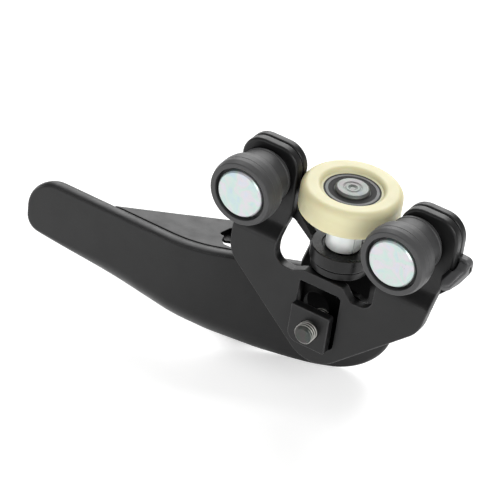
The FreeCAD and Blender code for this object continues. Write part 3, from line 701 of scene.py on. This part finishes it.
def blade_point(u, depth, z):
    """A point of the blade: u is X on its front face, depth is measured behind that face."""
    meet = -OFFSET * math.sin(TURN) + (FACE - OFFSET * math.cos(TURN)) / math.tan(TURN)
    tangent = OUTER_BEND * math.tan(TURN / 2)
    start, end = meet - tangent, meet + tangent * math.cos(TURN)
    if u < start:
        angle, y = 0.0, FACE
    elif u < end:
        angle = math.asin((u - start) / OUTER_BEND)
        y = FACE + OUTER_BEND * (1 - math.cos(angle))
    else:
        angle, y = TURN, FACE + tangent * math.sin(TURN) + (u - end) * math.tan(TURN)
    return Vector((u - math.sin(angle) * depth, y + math.cos(angle) * depth, z))


def turned_edge(radius, degrees):
    """Points round the outside of a bend at a sheet's border, as (inward, depth) pairs."""
    angles = [math.radians(degrees) * k / 10 for k in range(11)]
    return [(radius * (math.sin(angles[-1]) - math.sin(a)), radius * (1 - math.cos(a))) for a in angles]


def mixed(first, second, share):
    """Two sections mixed point by point, all of the first at share 1."""
    return [(a[0] * share + b[0] * (1 - share), a[1] * share + b[1] * (1 - share))
            for a, b in zip(first, second)]


def rolled_border(u, z):
    """Border of the blade: a rolled rim along the top and round the tip, an edge curled under elsewhere."""
    rim = smooth_step((z + 70.0) / 9.0) * smooth_step((15.0 - u) / 7.0)
    deep = 5.4 + (RIM - 5.4) * smooth_step((u + 134.0) / 10.0)
    low_enough = smooth_step((-62.0 - z) / 7.0)
    under = low_enough * smooth_step((-8.0 - u) / 20.0) * smooth_step((u + 134.0) / 46.0)
    crown = [math.radians(-30.0 + 84.0 * k / 10) for k in range(11)]
    middle, radius = 0.42 * deep, 0.76 * deep
    rolled = [(1.5, 0.0), (1.15, 0.04), (0.9, 0.16), (0.72, 0.3)]
    rolled += [(radius * (1 - math.cos(a)), middle + radius * math.sin(a)) for a in crown]
    rolled[4:] = [(inward, min(depth, deep)) for inward, depth in rolled[4:]]
    rolled += [(2.7, deep - 0.05), (3.1, deep - 0.6), (3.2, 4.2), (3.35, 3.5), (3.75, 3.1), (4.4, SHEET)]
    plain = turned_edge(2.04, 62.0)
    plain += [(0.0, 1.7), (0.0, 2.3), (0.12, 2.7), (0.35, 2.92), (0.7, SHEET)]
    plain += [(1.1 + 0.4 * k, SHEET) for k in range(5)]
    curled = turned_edge(10.0, 52.0)
    curled += [(0.0, 4.3), (0.1, 4.8), (0.45, 5.3), (0.95, 5.5), (1.6, 5.35)]
    curled += [(2.5, 4.75), (3.7, 4.1), (5.0, 3.55), (6.4, 3.15), (8.0, SHEET)]
    return mixed(rolled, mixed(curled, plain, under), rim)


def arm_blade():
    """Blade with its rim rolled back along the top and round the tip, and its lower edge curled under."""
    corners = [(ARM_TIP, ARM_TOP, 14.0), (ARM_END, ARM_TOP, 3.2), (ARM_END, ARM_FOOT, 20.0),
               (-26.0, ARM_FOOT, 50.0), (-56.0, -83.4, 60.0), (ARM_TIP, -70.9, 7.0)]
    levels = [ARM_TIP + 1.5 + 1.6 * k for k in range(94)]
    outline = [Vector((p.y, p.x)) for p in rounded(corners, 4.0)]
    bm = bmesh.new()
    add_sheet(bm, outline, lambda z, u, depth: blade_point(u, depth, z),
              lambda point: rolled_border(point.y, point.x), levels=levels, grid=9.0)
    return finish_piece(bm, "arm_blade_pressing", arm_paint, "arm", ["arm_blade"], sharp=50.0)


def folded(level, edge, turn=0.0):
    """A sheet that is level up to v = edge - BEND and then folds down: its placing, its levels, its drop.

    Depth goes down from the level part and inwards from the folded one. The drop gives the v of a height.
    """
    start, length = edge - BEND, BEND * math.pi / 2

    def place(u, v, depth):
        if v < start:
            point = Vector((u, v, level - depth))
        elif v < start + length:
            angle, radius = (v - start) / BEND, BEND - depth
            point = Vector((u, start + radius * math.sin(angle), level - BEND + radius * math.cos(angle)))
        else:
            point = Vector((u, edge - depth, level - BEND - (v - start - length)))
        return Matrix.Rotation(turn, 3, "Z") @ point
    levels = [start - 3.0, start - 1.4] + [start + length * k / 8 for k in range(9)]
    return place, levels, lambda z: start + length + (level - BEND - z)


def arm_web():
    """Web behind the rim, with a lanced opening, that folds down into the door flange."""
    behind = FACE + RIM - 0.5
    place, levels, drop = folded(ARM_TOP - 0.9, 24.0)
    edge = [blade_point(u, RIM - 0.5, 0) for u in [-98.0 + 2.4 * k for k in range(25)]]
    outline = [Vector((p.x, p.y)) for p in edge if p.x < -43.4]
    outline[0] = Vector((-98.6, behind))
    outline += rounded([
        (-43.0, outline[-1].y + 0.5, 0.2), (-43.0, 24.6, 0.6), (-40.0, 28.0, 1.0), (-40.0, drop(-88.0), 5.0),
        (-58.0, drop(-88.0), 5.0), (-58.0, 26.6, 1.2), (-51.0, 23.8, 1.2), (-74.0, 10.3, 0.1)])
    claw = rounded([
        (-51.9, 3.0, 0.3), (-47.4, 3.3, 0.8), (-45.4, 6.0, 1.0), (-46.5, 13.5, 1.5), (-55.7, 14.6, 0.9),
        (-57.4, 7.4, 1.2), (-54.8, 8.0, 0.7), (-54.0, 4.9, 0.8)])
    holes = [claw, ring(-49.0, drop(-60.0), 4.25), ring(-49.0, drop(-80.0), 4.25)]

    def section(point):
        near = -58.5 < point.x < -44.5 and 1.0 < point.y < 16.0
        return border(2.4, 0.2 if near else 0.5)
    bm = bmesh.new()
    add_sheet(bm, clean(outline), place, section, holes, levels, 1.2)
    tongue = rounded([(-62.0, 9.6, 0.5), (-54.6, 8.6, 0.6), (-47.2, 15.0, 0.8), (-47.2, 20.2, 1.0),
                      (-62.0, 14.0, 0.5)])
    add_sheet(bm, tongue, lambda u, v, depth: Vector((u, v, -48.8 - 0.16 * (u + 61.0) - depth)),
              even(1.2, 0.25))
    return finish_piece(bm, "arm_web_pressing", arm_paint, "arm", ["arm_web"])


def hinge_bracket():
    """Lug round the pivot bush, folded down along the turned part of the blade."""
    place, levels, drop = folded(-26.95, OFFSET - 0.02, TURN)
    outline = rounded([
        (-11.35, -11.35, 11.33), (11.35, -11.35, 11.33), (11.35, drop(-31.5), 4.0),
        (14.0, drop(-42.0), 3.0), (14.0, drop(-64.0), 4.0), (-14.0, drop(-64.0), 4.0),
        (-14.0, drop(-42.0), 3.0), (-11.35, drop(-31.5), 4.0)])
    bm = bmesh.new()
    add_sheet(bm, outline, place, even(2.95, 0.35), [ring(0, 0, 6.6)], levels, 1.4)
    return finish_piece(bm, "hinge_bracket_pressing", arm_paint, "arm", ["hinge_bracket"])


# ---------------------------------------------------------------- turned and moulded parts

def load_roller(side, x, zinc):
    """Moulded roller with a crowned tread and parting line, and its pin with a broad zinc head."""
    bm = bmesh.new()
    add_lathe(bm, [
        (6.26, -23.5, 0.2), (10.7, -23.5, 0.4), (10.7, -26.85, 0.25), (12.7, -26.9, 0.55), (13.4, -24.6, 1.6),
        (13.5, -22.75, 0.6), (13.4, -22.6, 0.0), (13.5, -22.45, 0.3), (13.5, -19.8, 2.6), (13.0, -17.1, 1.2),
        (11.3, -16.3, 1.0), (10.75, -14.8, 0.9), (10.7, -9.5, 0.3), (10.95, -9.3, 0.2), (10.95, -8.1, 0.4),
        (6.26, -8.1, 0.2),
    ], about_y(x), 160)
    finish_piece(bm, f"{side}_roller_moulding", grey_moulding, f"{side}_roller",
                 [f"{side}_load_roller"])
    bm = bmesh.new()
    add_lathe(bm, [
        (0, -26.94, 0), (7.6, -26.96, 0.4), (8.2, -27.0, 0.2), (8.85, -27.0, 0.25), (9.4, -26.4, 0.25),
        (9.4, -23.8, 0.2), (5.0, -23.8, 0.1), (5.0, 2.2, 0.1), (6.6, 2.2, 0.3), (6.2, 3.5, 0.8),
        (3.6, 4.2, 0.8), (0, 3.8, 0),
    ], about_y(x), 144)
    finish_piece(bm, f"{side}_pin_turned", zinc, "carriage", [f"{side}_load_pin"])


def guide_roller():
    """Ivory tyre with a dished mouth on each face, and the bearing's broad dark seal."""
    bm = bmesh.new()
    add_lathe(bm, [
        (11.0, -4.0, 0.1), (11.9, -4.3, 0.3), (12.5, -5.8, 2.0), (19.5, -5.8, 1.8), (19.5, -0.12, 0),
        (19.44, 0, 0), (19.5, 0.12, 0), (19.5, 5.8, 2.9), (12.5, 5.8, 2.2), (11.8, 4.3, 0.3), (11.0, 4.0, 0.1),
    ], about_z, 180)
    finish_piece(bm, "guide_tyre_moulding", ivory, "guide_roller", ["guide_tyre"])
    bm = bmesh.new()
    add_lathe(bm, [
        (6.95, 3.5, 0.05), (10.95, 3.5, 0.05), (10.95, 4.04, 0.05), (9.9, 3.98, 0.3), (8.6, 3.92, 0.2),
        (7.6, 3.98, 0.2), (7.25, 4.16, 0.1), (6.95, 4.1, 0.05),
    ], about_z, 140)
    finish_piece(bm, "guide_upper_seal", seal_rubber, "guide_roller", ["guide_upper_shield"])


def pivot():
    """Riveted pin head with its concentric dimple, rolled sleeve with a seam, and black collar."""
    bm = bmesh.new()
    add_lathe(bm, [
        (0, 4.75, 0), (0.9, 4.7, 0.3), (1.9, 5.2, 0.4), (2.6, 5.22, 0.3), (3.1, 5.02, 0.3), (3.8, 5.3, 0.4),
        (5.9, 5.3, 0.8), (6.75, 4.6, 0.3), (6.75, 4.0, 0.1), (5.0, 4.0, 0), (5.0, -31.6, 0),
        (6.6, -31.6, 0.2), (6.2, -32.8, 0.6), (0, -33.1, 0),
    ], about_z, 120)
    finish_piece(bm, "pivot_pin_turned", zinc_pivot, "carriage", ["pivot_pin"])
    bm = bmesh.new()
    add_lathe(bm, [(5.0, -20.7, 0.1), (6.8, -20.7, 0.15), (6.8, -4.7, 0.3), (5.0, -4.7, 0.1)],
              about_z, 120, -26.0, 357.0)
    finish_piece(bm, "pivot_sleeve_rolled", zinc_sleeve, "carriage", ["pivot_sleeve"])
    bm = bmesh.new()
    add_lathe(bm, [
        (5.0, -26.2, 0.1), (12.1, -26.2, 0.3), (12.1, -20.7, 0.5), (8.1, -20.7, 0.2), (7.8, -21.0, 0.1),
        (6.8, -21.0, 0), (5.0, -21.0, 0),
    ], about_z, 120)
    finish_piece(bm, "pivot_collar_turned", collar_black, "carriage", ["pivot_collar"])


def stop_screw():
    """M8 screw with a real helical thread, chamfered end and small centre dimple."""
    nose, tail, pitch, crest = -20.6, -4.0, 1.25, 4.0
    root = crest - 0.75
    around, rows = 48, []
    on_screw = about_y(SCREW_X, SCREW_Z)
    steps = int((tail - nose) / (pitch / 12))
    bm = bmesh.new()
    for k in range(steps + 1):
        y = nose + (tail - nose) * k / steps
        row = []
        for j in range(around):
            angle = 2 * math.pi * j / around
            phase = ((y - nose) / pitch + j / around) % 1.0
            height = max(0.0, min(1.0, 1.1 - abs(phase - 0.5) * 3.0))
            radius = root + (crest - root) * height
            radius = min(radius, 2.9 + 1.6 * (y - nose), 3.4 + 1.5 * (tail - y))
            row.append(bm.verts.new(on_screw(radius, angle, y) * MM))
        rows.append(row)
    for y, radius in ((nose - 0.02, 2.9), (nose - 0.02, 1.5), (nose + 0.45, 0.7)):
        rows.insert(0, [bm.verts.new(on_screw(radius, 2 * math.pi * j / around, y) * MM)
                        for j in range(around)])
    for row, following in zip(rows, rows[1:]):
        for j in range(around):
            after = (j + 1) % around
            bm.faces.new((row[j], row[after], following[after], following[j]))
    bm.faces.new(rows[0])
    bm.faces.new(rows[-1][::-1])
    finish_piece(bm, "stop_screw_threaded", screw_steel, "carriage", ["stop_screw"], sharp=60.0)


# ---------------------------------------------------------------- carried-over CAD nodes

def keep_nodes():
    """Gives each CAD node that stays its finish."""
    finishes = {
        "guide_outer_race": race_steel, "guide_inner_race": race_steel, "guide_bearing_balls": ball_steel,
        "guide_bearing_cage": bronze, "guide_lower_shield": dark_shield,
        "guide_washer": zinc_pivot, "pivot_thrust_washer": bronze, "pivot_bush": bronze,
        "pivot_lower_washer": zinc_pivot, "window_doubler": shade_darkened_paint,
        "door_weld_nuts": steel_turned, "left_pin_washer": zinc_left, "right_pin_washer": zinc_right,
        "left_load_liner": steel_turned, "right_load_liner": steel_turned,
        "left_load_washer": steel_turned, "right_load_washer": steel_turned,
    }
    for name, finish in finishes.items():
        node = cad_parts[name]
        node.data.materials.clear()
        node.data.materials.append(finish)


# ---------------------------------------------------------------- stage

# Each light: its name, place, size in metres and power in watts.
LIGHTS = (("back", (-0.62, 1.17, 0.90), 1.4, 25.0), ("overhead", (0.0, -0.25, 1.30), 1.0, 0.8),
          ("front_low", (-0.62, -1.35, 0.26), 0.6, 2.4), ("fill", (1.20, -0.75, 0.90), 0.9, 14.0))
LIGHTS_AIM = (-0.02, 0, -0.04)
FLOOR_HALF, FLOOR_GAP, FLOOR_GLOW, WORLD_GLOW = 6.0, 0.0004, 0.42, 0.32
CAMERA_PLACE, CAMERA_LENS, CAMERA_SENSOR = (370.8, -795.6, 572.2), 201.9, 36.0
CAMERA_AZIMUTH, CAMERA_ELEVATION, CAMERA_ROLL = 27.23, 34.47, 8.80


def area_light(name, place, target, size, power):
    """A soft square light."""
    data = bpy.data.lights.new(name, "AREA")
    data.shape = "SQUARE"
    data.size = size
    data.energy = power
    light = bpy.data.objects.new(name, data)
    light.location = place
    light.rotation_mode = "QUATERNION"
    light.rotation_quaternion = (Vector(target) - Vector(place)).to_track_quat("-Z", "Y")
    bpy.context.scene.collection.objects.link(light)


def stage():
    """Pale floor, white surroundings, soft lights and the camera."""
    height = cad_box[0].z - FLOOR_GAP
    mesh = bpy.data.meshes.new("floor")
    corners = [(x * FLOOR_HALF, y * FLOOR_HALF, height) for x, y in ((-1, -1), (1, -1), (1, 1), (-1, 1))]
    mesh.from_pydata(corners, [], [(0, 1, 2, 3)])
    floor = bpy.data.objects.new("floor", mesh)
    bpy.context.scene.collection.objects.link(floor)
    n = Nodes("floor_white")
    n.set(Base_Color=n.ramp(n.noise(3, 2), [(0.3, (0.93, 0.93, 0.93)), (0.7, (0.95, 0.95, 0.95))]))
    n.set(Roughness=0.9, Emission_Color=(1, 1, 1), Emission_Strength=FLOOR_GLOW)
    mesh.materials.append(n.material)
    world = bpy.data.worlds.new("studio")
    world.use_nodes = True
    world.node_tree.nodes["Background"].inputs[0].default_value = (1, 1, 1, 1)
    world.node_tree.nodes["Background"].inputs[1].default_value = WORLD_GLOW
    bpy.context.scene.world = world
    for name, place, size, power in LIGHTS:
        area_light(name, place, LIGHTS_AIM, size, power)
    bpy.context.scene.view_settings.view_transform = "Standard"

    azimuth, elevation = math.radians(CAMERA_AZIMUTH), math.radians(CAMERA_ELEVATION)
    roll = math.radians(CAMERA_ROLL)
    back = Vector((math.sin(azimuth) * math.cos(elevation),
                   -math.cos(azimuth) * math.cos(elevation), math.sin(elevation)))
    level = Vector((math.cos(azimuth), math.sin(azimuth), 0))
    up = back.cross(level)
    right = level * math.cos(roll) + up * math.sin(roll)
    top = up * math.cos(roll) - level * math.sin(roll)
    data = bpy.data.cameras.new("camera")
    data.sensor_width = CAMERA_SENSOR
    data.lens = CAMERA_LENS
    data.clip_start, data.clip_end = 0.01, 50
    camera = bpy.data.objects.new("camera", data)
    turned = Matrix((right, top, back)).transposed().to_4x4()
    camera.matrix_world = Matrix.Translation(Vector(CAMERA_PLACE) * MM) @ turned
    bpy.context.scene.collection.objects.link(camera)
    bpy.context.scene.camera = camera


front_plate()
rear_plate()
arm_blade()
arm_web()
hinge_bracket()
load_roller("left", -PIN_X, zinc_left)
load_roller("right", PIN_X, zinc_right)
guide_roller()
pivot()
stop_screw()
keep_nodes()
stage()

bpy.context.view_layer.update()
